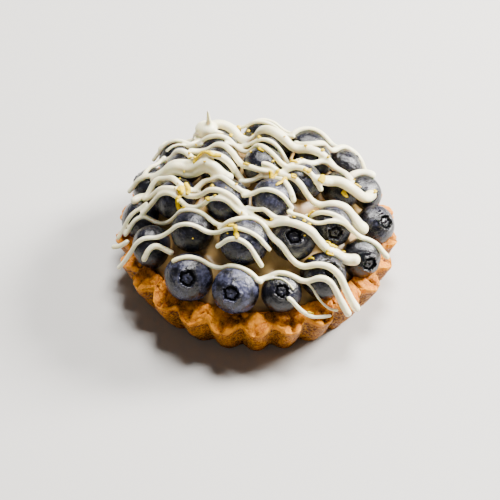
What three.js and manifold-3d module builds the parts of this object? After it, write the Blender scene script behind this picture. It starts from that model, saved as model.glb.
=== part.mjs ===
// Blueberry tart, 90 mm across: a fluted pastry case filled with domed cream, whole berries pressed
// into the cream, strands of piped icing draped over them and a few curls of lemon zest.
// Millimetres and degrees, +Z up. The origin is the middle of the base, on the surface that it
// stands on, and the front is -Y. Azimuths turn from +X towards +Y, so the front is at -90.

import * as THREE from 'three';
import { mergeVertices } from 'three/addons/utils/BufferGeometryUtils.js';
import Module from 'manifold-3d';

const wasm = await Module();
wasm.setup();

const rad = THREE.MathUtils.degToRad;
const gap = 0.3; // left between neighbouring pieces
const weld = 0.1; // joins and cuts take places closer than this as one

// The pastry case
const fluteCount = 25; // with one crest at the very front
const stepsPerFlute = 4;
const fluteShoulder = 0.3; // widens the crests and narrows the grooves
const footRadius = 38; // out to the crests of the flutes
const footFluteDepth = 2.4;
const footBevel = 0.9;
const lipRadius = 45; // out to the crests of the flutes
const lipFluteDepth = 3.6;
const bellyFluteDepth = 3.1;
const rimFluteDepth = 0.7;
const rimRadius = 37.6; // the rim's inner edge, where it is highest
const rimHeight = 18.2;
const rimFall = 0.5; // how steeply the rim's top slopes outwards
const rimBevel = 2;
const flareBelly = 0.5;
const floorRadius = 32.5;
const floorThickness = 3.5;
const crag = 0.35; // height of the bumps of the baked rim
const cragWaves = [
  [11, 1.7, 0.6],
  [23, 2.9, 0.4],
]; // bumps round the rim, their shift from one ring of points to the next, and their share

// The heap: the berries' centres lie on a dome
const heapTop = 38;
const rimRingRadius = 34;
const rimRingHeight = 23;
const creamBelowCentres = 3.5;
const creamEdgeInset = 0.9; // from the rim's inner edge
const creamRings = [1, 0.8, 0.55, 0.28, 0]; // shares of the edge's radius
const creamSegments = 28;
const socketMargin = 0.7; // keeps the gap where a socket's facets are closest to its berry

// The berries: flattened spheres with a sunken, five-pointed crown
const berryFlatness = 0.86;
const berrySegments = 10;
const crownLobe = 0.05;
const crownBase = 0.8; // everything above this many radii belongs to the crown
const crownOutwards = 3; // how much more a lobe spreads than it rises
const crownProfile = [
  [0.36, 0.79],
  [0.27, 0.87],
  [0.17, 0.7],
  [0, 0.68],
]; // from the shoulder up over the lip and down into the pit, in radii

// Each berry: azimuth, distance from the middle, diameter, then the way that its crown faces,
// as azimuth and elevation
const berries = [
  // the ring on the rim, from the front towards the left
  [-100, 33.7, 14.6, -106, 35],
  [-127, 34.5, 15, -92, 44],
  [-157, 35.3, 13.8, 170, -30],
  [-180, 34.4, 13, 20, -50],
  [155, 34, 13.5, 155, 5],
  [131, 35, 14.2, 60, -40],
  [111, 34.8, 15.2, 105, 20],
  [87, 34, 14, 80, 0],
  [63, 34.8, 14.8, 250, -50],
  [41, 35.2, 13.8, 40, 15],
  [17, 35, 12.4, 130, -60],
  [-1, 37, 13, -36, 44],
  [-28, 36.6, 13, -60, 20],
  [-53, 34, 14.6, -47, 57],
  [-78, 34.5, 12.4, -90, 52],
  // the second ring, from the front towards the right
  [-99, 21, 15.2, 90, -70],
  [-62, 22, 14, -88, 53],
  [-28, 26, 13.2, -77, 25],
  [9, 25, 12.8, 200, -50],
  [41, 22.6, 13, 30, -60],
  [74, 20, 13, 270, -70],
  [120, 24.6, 12.6, 300, -50],
  [152, 26.5, 13.4, 330, -60],
  [179, 27.2, 13.8, 0, -60],
  [-143, 24, 13.6, 45, -60],
  // the top of the heap
  [-138, 12.5, 14, 80, -80],
  [-55, 9, 13.6, 170, -60],
  [9, 12.6, 12.8, 200, -70],
  [141, 15.4, 13.8, 340, -60],
  [65, 6.6, 13.2, 200, -80],
].map(([azimuth, distance, diameter, crownAzimuth, crownElevation]) => ({
  x: distance * Math.cos(rad(azimuth)),
  y: distance * Math.sin(rad(azimuth)),
  radius: diameter / 2,
  crown: new THREE.Vector3(1, 0, 0)
    .applyAxisAngle(new THREE.Vector3(0, -1, 0), rad(crownElevation))
    .applyAxisAngle(new THREE.Vector3(0, 0, 1), rad(crownAzimuth)),
}));

// The icing: how a strand lies, and its section
const strandLift = 0.28; // share of its width between the surface under it and its middle
const strandFlatness = 0.85;
const strandValley = 4.5; // radius of the curve in which it crosses a dip
const strandReach = 4; // how far beyond its ends the ground still shapes it
const strandStep = 4.5; // between its stations
const strandSides = 4;

// Each strand, seen from above: where it starts and ends, how far its middle bows towards the back,
// how far its first quarter swings back and its third quarter forwards, how far it ripples back, forth
// and back, and its width at the start and at the end
const strands = [
  // the front
  [-25, -26.5, 1, -33.5, 2.2, 0.3, 0, 1.6, 1.8],
  [0, -33.5, 27.5, -36.5, 3.5, 0, 0.8, 1.8, 2.5],
  [15.3, -32, 24.5, -35, -1.5, 0, 0, 1, 1.1],
  [9.5, -38.5, 22.5, -37, -0.7, 0, 0, 1.6, 1.1],
  [-42.5, -18.5, 3.5, -25.5, 4, 1, 0, 1.6, 1.5],
  [-11.5, -24.5, 1.2, -29.5, 1.2, 0, 0, 1.7, 1.7],
  [-34.3, -20.6, -26.3, -19.8, 2, 0, 0, 2, 2],
  [-11, -18.5, 5.5, -22.5, 2.6, -1, 0, 1.7, 1.9],
  [4, -21, 30, -34.5, -1, -1.8, 0, 2, 2.9],
  // the left
  [-45, -7.5, -40.5, -8.5, 0, 0, 0, 1.8, 1.8],
  [-43.5, -6, -34.5, -1, 0.6, 0, 0, 1.5, 1.5],
  [-38.5, 2, -35, 5, 0, 0, 0, 2.7, 2.7],
  [-40.5, 11, -31.5, 12, 0.8, 0, 0, 1.8, 1.8],
  [-36.5, 12, -30, 23, 1, 0, 0, 1.5, 1.5],
  [-41, -6.5, -10, -18.5, 4, 1.2, 1, 1.6, 1.6],
  [-35.5, -3.5, -3.5, -16, 2, 1, 1, 1.8, 1.8],
  // across the middle
  [-35, 3, -18.5, -1, 2, 3.5, 0, 2.1, 2.1],
  [-20, -2, -3, -9, 3.2, 2.7, 0, 2, 1.8],
  [-4, -10, 10.5, -12.5, 1.2, 0, 0, 1.7, 1.6],
  [-35, 1.5, 30, -22, -4, 1.5, 0, 1.9, 4],
  [-3, -12.5, 9, -18.5, 1, 0, 0, 1.6, 2.5],
  [-32, 11, -3, 0.5, 3, 0, 0, 2.8, 2],
  [-32, 10.8, -8.5, -0.5, 2.6, 0, 0, 3.4, 3.1],
  [-32, 9.8, -8.8, -1.4, 2.4, 0, 0, 2.8, 2.6],
  [-5, -0.5, 11, -9.5, 5, -1, 0, 1.9, 1.9],
  [2, 2.3, 32, -10, -1.5, 0.8, 1, 1.9, 4.2],
  [-21, 16.5, 19.5, -2.8, -2.5, 0.2, 2.8, 2.1, 1.8],
  // the right
  [9.5, -14, 40, -17, 0.4, -0.8, 0, 1.5, 2.1],
  [15.5, -10.5, 32, -15.5, -0.5, 0, 0, 1.7, 1.7],
  [18.5, -1.7, 36, 5.7, -1.2, 2.1, 0, 3.6, 3.8],
  [10, 2.5, 29.5, 3.5, 7.5, -1.2, 0, 2.1, 2.1],
  [12.5, 19, 35.5, 22, 2, -4.5, 0, 2.1, 2.1],
  [29.5, 13.5, 36.5, 15, 1, 0, 0, 2.7, 3.1],
  // the back
  [-31.5, 23.5, -19.5, 11, 1, 0, 0, 2.1, 2],
  [-33.5, 27, -21, 26, 2, 0, 0, 1.5, 1.5],
  [-31, 28.5, -20, 33, 3, 0, 0, 2.5, 2.5],
  [-22, 25, 10, 2.5, 3.5, 1, -1.2, 1.8, 1.8],
  [-21.5, 27, -3.5, 26.5, 5, 1, 0, 1.8, 1.8],
  [-10, 19, 9.5, 12.5, 3, 0, 0, 1.6, 1.6],
  [-19, 33.5, 24, 11, 2.2, 3.8, 1.2, 3.4, 2.4],
  [-20, 31, -2, 30.5, 5, 0, 0, 1.8, 1.8],
  [-3, 37, 11, 34.5, 2.5, 0, 0, 1.4, 1.4],
  [-9, 37.5, 12, 31.5, 1.5, 0, 0, 1.5, 1.5],
  [10.5, 32, 26, 29, 5, 0, 0, 1.9, 2],
].map(([x0, y0, x1, y1, bow, swing, ripple, startWidth, endWidth]) => ({
  start: new THREE.Vector2(x0, y0),
  end: new THREE.Vector2(x1, y1),
  bow,
  swing,
  ripple,
  startWidth,
  endWidth,
}));

// The drop where the icing starts, and the tail that is drawn up from it
const dropPlace = [-16.7, 33.5];
const dropRadii = [3.6, 3, 2.5];
const dropLift = 1.6;
const tailPlace = [-15.5, 33.6];
const tailRadius = 1.1;
const tailHeight = 5.4;

// The largest pieces of lemon zest: x, y, length, width and azimuth
const zestThickness = 1.6;
const zestCurls = [
  [-13.5, 6, 5.6, 1.1, 3],
  [-18.3, 8.2, 4.4, 1.1, 32],
  [-20.5, 10.8, 3.4, 1.2, 130],
  [-24, -5, 5, 1.5, 85],
  [-21.8, -3, 4.4, 1.2, 100],
  [-8.4, -20.8, 3.4, 1.1, 150],
  [-6.2, -24, 3.8, 1, 95],
  [-14.9, -11.2, 1.8, 1.6, 0],
  [-12, 22.7, 1.9, 1.6, 0],
  [11.3, 4.3, 3.2, 1, -15],
  [4.8, -0.6, 3.2, 1.2, 100],
  [15.4, 0, 3, 1.4, -10],
  [19.9, -2, 3.2, 2.2, 85],
  [27.5, -1.2, 3, 1.3, 150],
  [23, -20.8, 4, 1.3, 10],
];

const crustColour = 0xc07a33;
const creamColour = 0xd9c08c;
const berryColour = 0x2a2d42;

// A closed geometry as a solid that can be cut and joined
function solidOf(geometry) {
  const bare = geometry.clone();
  bare.deleteAttribute('normal');
  bare.deleteAttribute('uv');
  const merged = mergeVertices(bare, 1e-3);
  const mesh = new wasm.Mesh({
    numProp: 3,
    vertProperties: merged.attributes.position.array,
    triVerts: new Uint32Array(merged.index.array),
  });
  return new wasm.Manifold(mesh).setTolerance(weld);
}

function geometryOf(solid) {
  const { vertProperties, triVerts } = solid.getMesh();
  const geometry = new THREE.BufferGeometry();
  geometry.setAttribute('position', new THREE.BufferAttribute(vertProperties, 3));
  geometry.setIndex(new THREE.BufferAttribute(triVerts, 1));
  return geometry;
}

function meshOf(name, solid, colour, roughness) {
  const geometry = geometryOf(solid);
  geometry.computeVertexNormals();
  const mesh = new THREE.Mesh(
    geometry,
    new THREE.MeshStandardMaterial({ color: colour, roughness, metalness: 0 }),
  );
  mesh.name = name;
  return mesh;
}

// A profile of [radius, height] points, from the axis to the axis, turned round +Z
function turned(profile, segments) {
  const points = profile.map(([radius, height]) => new THREE.Vector2(radius, height));
  return new THREE.LatheGeometry(points, segments).rotateX(Math.PI / 2);
}

// Moves every vertex of a geometry by a function of its place
function reshape(geometry, move) {
  const places = geometry.attributes.position;
  const point = new THREE.Vector3();
  for (let i = 0; i < places.count; i++) {
    point.fromBufferAttribute(places, i);
    move(point);
    places.setXYZ(i, point.x, point.y, point.z);
  }
  return geometry;
}

const heapFall = (heapTop - rimRingHeight) / rimRingRadius ** 2;
const centreHeight = (x, y) => heapTop - heapFall * (x * x + y * y);
const creamHeight = (radius) => heapTop - creamBelowCentres - heapFall * radius * radius;
const rimTop = (radius) => rimHeight - rimFall * (radius - rimRadius);

// Pushes berries that would overlap apart, and sets each one's height on the dome
function settle(rounds) {
  for (let round = 0; round < rounds; round++) {
    for (const berry of berries) berry.z = centreHeight(berry.x, berry.y);
    berries.forEach((a, i) => {
      for (const b of berries.slice(i + 1)) {
        const apart = Math.hypot(b.x - a.x, b.y - a.y, b.z - a.z);
        const push = (a.radius + b.radius + gap + 0.1 - apart) / 2;
        if (push <= 0) continue;
        const across = Math.hypot(b.x - a.x, b.y - a.y);
        const shiftX = (push * (b.x - a.x)) / across;
        const shiftY = (push * (b.y - a.y)) / across;
        a.x -= shiftX;
        a.y -= shiftY;
        b.x += shiftX;
        b.y += shiftY;
      }
    });
  }
  for (const berry of berries) berry.z = centreHeight(berry.x, berry.y);
}

// Height of a berry's skin above a place, or -Infinity beside it
function berryTop(berry, x, y) {
  const dx = x - berry.x;
  const dy = y - berry.y;
  const round = 1 / berry.radius ** 2;
  const squeeze = round / berryFlatness ** 2 - round;
  const tilt = dx * berry.crown.x + dy * berry.crown.y;
  const a = round + squeeze * berry.crown.z ** 2;
  const b = 2 * squeeze * berry.crown.z * tilt;
  const c = (dx * dx + dy * dy) * round + squeeze * tilt * tilt - 1;
  const inside = b * b - 4 * a * c;
  return inside < 0 ? -Infinity : berry.z + (Math.sqrt(inside) - b) / (2 * a);
}

// Height of whatever icing would land on
function surfaceHeight(x, y) {
  const radius = Math.hypot(x, y);
  const below = radius < rimRadius ? creamHeight(radius) : rimTop(Math.min(radius, lipRadius));
  return Math.max(below, ...berries.map((berry) => berryTop(berry, x, y)));
}

// A strand's course seen from above; before its start and after its end it runs straight on
function course({ start, end, bow, swing, ripple }, t) {
  const within = THREE.MathUtils.clamp(t, 0, 1);
  const turn = 2 * Math.PI * within;
  const aside = bow * 4 * within * (1 - within) + swing * Math.sin(turn) + ripple * Math.sin(1.5 * turn);
  const endSlant = bow * 4 * (1 - 2 * within) + 2 * Math.PI * swing;
  const slant = endSlant + 3 * Math.PI * ripple * Math.cos(1.5 * turn);
  return start.clone().lerp(end, t).add(new THREE.Vector2(0, aside + slant * (t - within)));
}

// The line that a strand follows: laid on what is under it, and rounding the dips
function draped(strand) {
  const length = strand.start.distanceTo(strand.end);
  const fine = Math.ceil(length / 0.5);
  const beyond = Math.round((strandReach / length) * fine);
  const flat = Array.from({ length: fine + 2 * beyond + 1 }, (_, i) => course(strand, (i - beyond) / fine));
  const dip = (i, j) => flat[i].distanceToSquared(flat[j]) / (2 * strandValley);
  const heights = flat.map((p) => surfaceHeight(p.x, p.y));
  const raised = flat.map((_, i) => Math.max(...heights.map((h, j) => h - dip(i, j))));
  const laid = flat.map((_, i) => Math.min(...raised.map((h, j) => h + dip(i, j))));
  const whole = flat.map((p, i) => new THREE.Vector3(p.x, p.y, laid[i]));
  const line = new THREE.CatmullRomCurve3(whole.slice(beyond, beyond + fine + 1));
  const steps = Math.max(2, Math.round(line.getLength() / strandStep));
  return Array.from({ length: steps + 1 }, (_, i) => {
    const t = i / steps;
    const middle = line.getPointAt(t);
    const forward = line.getTangentAt(t);
    const side = new THREE.Vector3(forward.y, -forward.x, 0).normalize();
    const up = new THREE.Vector3().crossVectors(side, forward);
    const width = THREE.MathUtils.lerp(strand.startWidth, strand.endWidth, t ** 3);
    middle.addScaledVector(up, strandLift * width);
    return { middle, forward, side, up, width };
  });
}

// A round-ended rope of icing: a capsule bent along the strand's line
function rope(stations) {
  const steps = stations.length - 1;
  const capsule = new THREE.CapsuleGeometry(0.5, steps, 1, strandSides, steps);
  reshape(capsule, (point) => {
    const along = point.y + steps / 2;
    const station = stations[THREE.MathUtils.clamp(Math.round(along), 0, steps)];
    const beyond = along - THREE.MathUtils.clamp(along, 0, steps);
    const { middle, forward, side, up, width } = station;
    const across = point.x * width;
    const above = point.z * width * strandFlatness;
    point
      .copy(middle)
      .addScaledVector(forward, beyond * width)
      .addScaledVector(side, across)
      .addScaledVector(up, above);
  });
  return solidOf(capsule);
}

function drop() {
  const [x, y] = dropPlace;
  const ball = new THREE.IcosahedronGeometry(1, 1).scale(...dropRadii);
  return solidOf(ball.translate(x, y, surfaceHeight(x, y) + dropLift));
}

function tail() {
  const [x, y] = tailPlace;
  const cone = new THREE.ConeGeometry(tailRadius, tailHeight, 6).rotateX(Math.PI / 2);
  return solidOf(cone.translate(x, y, surfaceHeight(...dropPlace) + dropLift + tailHeight / 2));
}

// A curl of zest: a thin flat box, lying on the icing
function zestCurl([x, y, length, width, azimuth]) {
  const curl = new THREE.BoxGeometry(length, width, zestThickness);
  const half = new THREE.Vector2(length / 2, 0).rotateAround(new THREE.Vector2(), rad(azimuth));
  const rise = surfaceHeight(x + half.x, y + half.y) - surfaceHeight(x - half.x, y - half.y);
  curl.rotateY(-Math.atan2(THREE.MathUtils.clamp(rise, -length, length), length));
  curl.rotateZ(rad(azimuth));
  return solidOf(curl.translate(x, y, surfaceHeight(x, y) + zestThickness / 2));
}

// A berry's body, with its crown towards +Z before it is turned. A crown that faces down into the
// cream is left smooth.
function berryBody(berry) {
  const level = (degrees) => [Math.sin(rad(degrees)), berryFlatness * Math.cos(rad(degrees))];
  const withCrown = [level(180), level(116), level(82), level(50), ...crownProfile];
  const crownHidden = [level(180), level(143), level(110), level(76), level(40), level(0)];
  const body = turned(berry.crown.z > -0.4 ? withCrown : crownHidden, berrySegments);
  reshape(body, (point) => {
    const lobe = Math.cos(5 * Math.atan2(point.y, point.x)) * crownLobe;
    if (point.z > crownBase) {
      const spread = 1 + crownOutwards * lobe;
      point.set(point.x * spread, point.y * spread, point.z + lobe);
    }
    point.multiplyScalar(berry.radius);
  });
  const facing = new THREE.Quaternion();
  facing.setFromUnitVectors(new THREE.Vector3(0, 0, 1), berry.crown);
  return solidOf(body.applyQuaternion(facing).translate(berry.x, berry.y, berry.z));
}

// The share of some solids that belongs to a berry: all that is nearer to it than to its neighbours
function nearest(solid, berry) {
  let mine = solid;
  for (const other of berries) {
    const towards = new THREE.Vector3(berry.x - other.x, berry.y - other.y, berry.z - other.z);
    const apart = towards.length();
    const between = apart - berry.radius - other.radius;
    if (other === berry || between > 2 * berry.radius) continue;
    towards.normalize();
    const fromOther = other.radius + (between + gap) / 2;
    const limit = towards.dot(new THREE.Vector3(other.x, other.y, other.z)) + fromOther;
    mine = mine.trimByPlane(towards.toArray(), limit);
  }
  return mine;
}

// Keeps the largest piece, and drops loose scraps and sealed pockets
function largest(solid) {
  const byVolume = (pieces) => pieces.sort((a, b) => b.volume() - a.volume());
  let kept = solid;
  for (let pass = 0; pass < 3; pass++) {
    kept = byVolume(solidOf(geometryOf(kept)).decompose())[0];
  }
  return kept;
}

// The dome of cream, down to the case's floor; a positive margin makes it larger all round
function creamBody(margin) {
  const wallLean = (rimRadius - floorRadius) / (rimHeight - floorThickness);
  const wall = (height) => floorRadius + wallLean * (height - floorThickness) - gap + margin;
  const edge = rimRadius - creamEdgeInset;
  const bottom = floorThickness + gap - margin;
  return turned(
    [
      [0, bottom],
      [wall(bottom) - gap, bottom],
      [wall(creamHeight(edge)) - gap, creamHeight(edge) + margin],
      ...creamRings.slice(1).map((share) => [share * edge, creamHeight(share * edge) + margin]),
    ],
    creamSegments,
  );
}

// Height of the baked rim's bumps, from -1 to 1
function bumps(azimuth, ring) {
  const waves = cragWaves.map(([count, shift, share]) => share * Math.sin(count * azimuth + shift * ring));
  return waves[0] + waves[1];
}

// The pastry case: a turned section whose outer side is pressed into flutes. A positive margin
// makes it thicker all round, as the space that it keeps clear.
function caseBody(margin) {
  const lipTop = rimTop(lipRadius);
  // Radius of the crests, height, depth of the grooves, bumps and outward slope of each ring of points
  const rings = [
    [0, -margin, 0, 0, 0],
    [footRadius - footBevel, -margin, footFluteDepth, 0, 0],
    [footRadius, footBevel, footFluteDepth, 0, 0],
    [(footRadius + lipRadius) / 2 + flareBelly, lipTop / 2, bellyFluteDepth, 0, 0],
    [lipRadius, lipTop, lipFluteDepth, crag, rimFall],
    [rimRadius + rimBevel, rimTop(rimRadius + rimBevel), rimFluteDepth, crag, rimFall],
    [rimRadius, rimHeight, 0, crag, 0],
    [floorRadius, floorThickness, 0, 0, 0],
    [0, floorThickness, 0, 0, 0],
  ].map(([radius, height, ...rest], i) => {
    const outside = i <= 4 ? margin : -margin;
    return [radius && radius + outside, i > 3 ? height + margin : height, ...rest];
  });
  const segments = fluteCount * stepsPerFlute;
  const body = turned(rings, segments);
  const firstCrest = Math.PI / 2;
  return reshape(body, (point) => {
    const radius = Math.hypot(point.x, point.y);
    const ring = rings.findIndex(([r, z]) => Math.hypot(r - radius, z - point.z) < 0.01);
    const [, height, depth, rough, slope] = rings[ring];
    const azimuth = Math.atan2(point.y, point.x) + Math.PI / segments;
    const phase = fluteCount * (azimuth + firstCrest);
    const pressed = (depth * (1 - Math.cos(phase))) / 2;
    const bump = rough * bumps(azimuth, ring);
    const turn = azimuth + (fluteShoulder * Math.sin(phase)) / fluteCount;
    point.x = (radius - pressed) * Math.cos(turn);
    point.y = (radius - pressed) * Math.sin(turn);
    point.z = height + slope * pressed + bump;
  });
}

settle(80);
const ropes = strands.map((strand) => rope(draped(strand)));
const icing = wasm.Manifold.union([...ropes, drop(), tail(), ...zestCurls.map(zestCurl)]);
const bodies = berries.map(berryBody);
const creamAndAir = solidOf(creamBody(gap));
const crust = solidOf(caseBody(0));
const crustKeepOut = solidOf(caseBody(gap));

const tart = new THREE.Group();

// Each berry with the icing and zest that lie on it
const berryNodes = berries.map((berry, i) => {
  const onTop = nearest(icing, berry).subtract(creamAndAir).subtract(crustKeepOut);
  return largest(bodies[i].subtract(crustKeepOut).add(onTop));
});

// Sockets in the cream, a gap wider than the berries
const sockets = berries.map((berry) => {
  const socket = new THREE.IcosahedronGeometry(berry.radius + socketMargin, 1);
  return solidOf(socket.translate(berry.x, berry.y, berry.z));
});
const cream = largest(solidOf(creamBody(0)).subtract(wasm.Manifold.union(sockets)));

tart.add(meshOf('crust', crust, crustColour, 0.7));
tart.add(meshOf('cream', cream, creamColour, 0.5));
berryNodes.forEach((solid, i) => {
  const name = 'berry_' + String(i + 1).padStart(2, '0');
  tart.add(meshOf(name, solid, berryColour, 0.4));
});

export default tart;
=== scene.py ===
"""Looks of a 90 mm blueberry tart: a baked fluted case, domed cream, whole berries pressed into the
cream, icing draped over them and lemon zest. Metres; angles in degrees, turning from +X towards +Y.
The front of the tart is -Y.
"""

import random
from math import acos, atan2, ceil, cos, exp, hypot, pi, radians, sin, sqrt, tau

import bmesh
import bpy
import numpy as np
from mathutils import Matrix, Vector, noise
from mathutils.bvhtree import BVHTree


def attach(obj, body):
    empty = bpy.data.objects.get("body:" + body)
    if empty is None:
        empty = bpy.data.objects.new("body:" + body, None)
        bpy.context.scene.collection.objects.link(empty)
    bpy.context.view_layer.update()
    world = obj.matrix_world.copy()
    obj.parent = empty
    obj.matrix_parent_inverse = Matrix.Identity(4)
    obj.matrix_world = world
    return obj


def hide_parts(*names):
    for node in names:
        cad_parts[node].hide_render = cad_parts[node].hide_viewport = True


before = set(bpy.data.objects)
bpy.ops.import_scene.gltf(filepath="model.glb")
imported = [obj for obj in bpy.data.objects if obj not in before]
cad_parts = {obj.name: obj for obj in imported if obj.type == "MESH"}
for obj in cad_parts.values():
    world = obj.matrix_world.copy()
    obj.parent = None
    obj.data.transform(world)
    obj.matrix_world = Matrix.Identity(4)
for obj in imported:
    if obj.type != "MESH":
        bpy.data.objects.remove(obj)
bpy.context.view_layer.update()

MM = 0.001

# The pastry case
FLUTES = 25
FOOT_RADIUS = 38 * MM
FOOT_FLUTE_DEPTH = 2.4 * MM
FOOT_BEVEL = 0.9 * MM
LIP_RADIUS = 45 * MM
LIP_FLUTE_DEPTH = 3.6 * MM
RIM_RADIUS = 37.6 * MM
RIM_HEIGHT = 18.2 * MM
RIM_FALL = 0.5
FLOOR_RADIUS = 32.5 * MM
FLOOR_THICKNESS = 3.5 * MM
STEPS_PER_FLUTE = 28
FLAT_UNDERSIDE = 0.7 * FOOT_RADIUS
SAME_PLACE = 0.01 * MM

# Relief of the case's skin, in millimetres
CREST_CREASE = 0.85
GROOVE_CREASE = 0.5
LUMP = 0.75
SMALL_LUMP = 0.42
CRACK = 0.4
GRAIN = 0.16
SAND = 0.1

# The heap: the berries' centres lie on a dome
HEAP_TOP = 38 * MM
RIM_RING_RADIUS = 34 * MM
RIM_RING_HEIGHT = 23 * MM
CREAM_BELOW_CENTRES = 3.5 * MM
HEAP_FALL = (HEAP_TOP - RIM_RING_HEIGHT) / RIM_RING_RADIUS**2

# A berry's shape. The crown's ring, rise and depths are shares of the berry's radius
BERRY_FLATNESS = 0.86
CROWN_RING = 0.325
COLLAR_RISE = 0.05
HOLLOW_DEPTH = 0.06
GAP_DEPTH = 0.12
SCAR_DEPTH = 0.08

# How the berries are pushed apart where they would overlap
BERRY_GAP = 0.3 * MM
SETTLING_ROUNDS = 80
SETTLING_SLACK = 0.1 * MM

# The berries, in millimetres and degrees: azimuth, distance from the middle, diameter, the way that
# the crown faces as azimuth and elevation, and how much bloom the skin still has
BERRIES = [
    # the ring on the rim, from the front towards the left
    (-100, 33.7, 14.6, -106, 35, 0.95),
    (-127, 34.5, 15, -92, 44, 0.7),
    (-157, 35.3, 13.8, 170, -30, 0.25),
    (-180, 34.4, 13, 20, -50, 0.3),
    (155, 34, 13.5, 155, 5, 0.3),
    (131, 35, 14.2, 60, -40, 0.3),
    (111, 34.8, 15.2, 105, 20, 0.3),
    (87, 34, 14, 80, 0, 0.3),
    (63, 34.8, 14.8, 250, -50, 0.25),
    (41, 35.2, 13.8, 40, 15, 0.2),
    (17, 35, 12.4, 130, -60, 0.2),
    (-1, 37, 13, -36, 44, 0.35),
    (-28, 36.6, 13, -60, 20, 0.15),
    (-53, 34, 14.6, -47, 57, 0.35),
    (-78, 34.5, 12.4, -90, 52, 0.3),
    # the second ring, from the front towards the right
    (-99, 21, 15.2, 90, -70, 0.75),
    (-62, 22, 14, -88, 53, 0.25),
    (-28, 26, 13.2, -77, 25, 0.45),
    (9, 25, 12.8, 200, -50, 0.3),
    (41, 22.6, 13, 30, -60, 0.25),
    (74, 20, 13, 270, -70, 0.3),
    (120, 24.6, 12.6, 300, -50, 0.3),
    (152, 26.5, 13.4, 330, -60, 0.3),
    (179, 27.2, 13.8, 0, -60, 0.45),
    (-143, 24, 13.6, 45, -60, 0.35),
    # the top of the heap
    (-138, 12.5, 14, 80, -80, 0.6),
    (-55, 9, 13.6, 170, -60, 0.7),
    (9, 12.6, 12.8, 200, -70, 0.5),
    (141, 15.4, 13.8, 340, -60, 0.3),
    (65, 6.6, 13.2, 200, -80, 0.3),
]

# The icing: how a strand lies, its section, the steps along it, and the grid that fuses the strands
STRAND_LIFT = 0.28
STRAND_FLATNESS = 0.85
STRAND_VALLEY = 4.5 * MM
STRAND_REACH = 4 * MM
STRAND_STEP = 0.5 * MM
ROPE_STEP = 0.6 * MM
ICING_CELL = 0.34 * MM

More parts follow.
